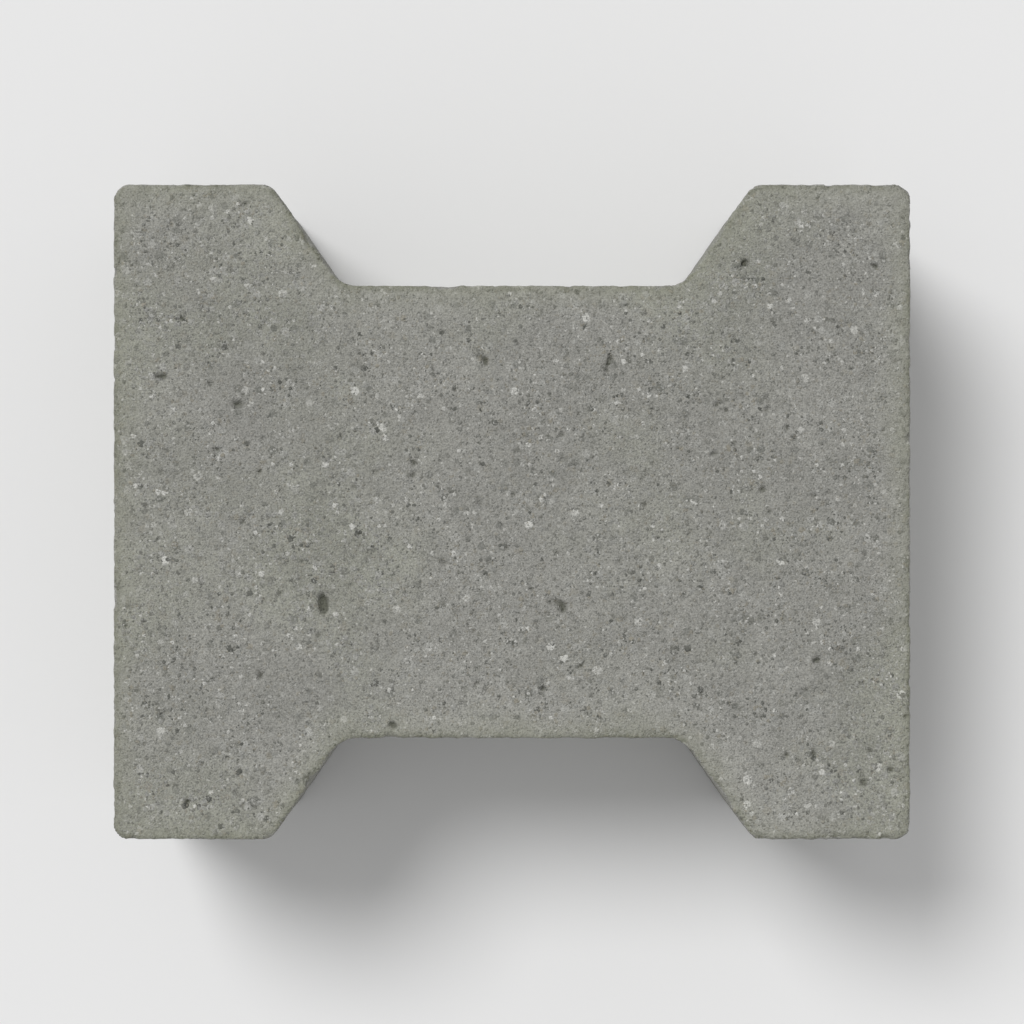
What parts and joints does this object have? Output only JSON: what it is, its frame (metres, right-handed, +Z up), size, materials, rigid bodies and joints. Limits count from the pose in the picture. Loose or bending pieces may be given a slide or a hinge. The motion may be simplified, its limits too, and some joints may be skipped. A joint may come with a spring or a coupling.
{
  "type": "interlocking concrete paving stone",
  "caption": "Double-T interlocking paving stone of plain grey concrete: wide heads joined by a narrower waist, square-edged, laid in rows that nest half a stone along.",
  "frame": {"origin": "centre of the bed face, on which the stone lies", "axes": "+X along the stone from head to head, which is along the row when laid; +Y across the stone, towards the next row; +Z up, out of the wearing face"},
  "size_m": [0.197, 0.162, 0.08],
  "materials": {
    "concrete": "matte"
  },
  "bodies": {
    "root": {"paving_stone": "concrete"}
  },
  "joints": []
}
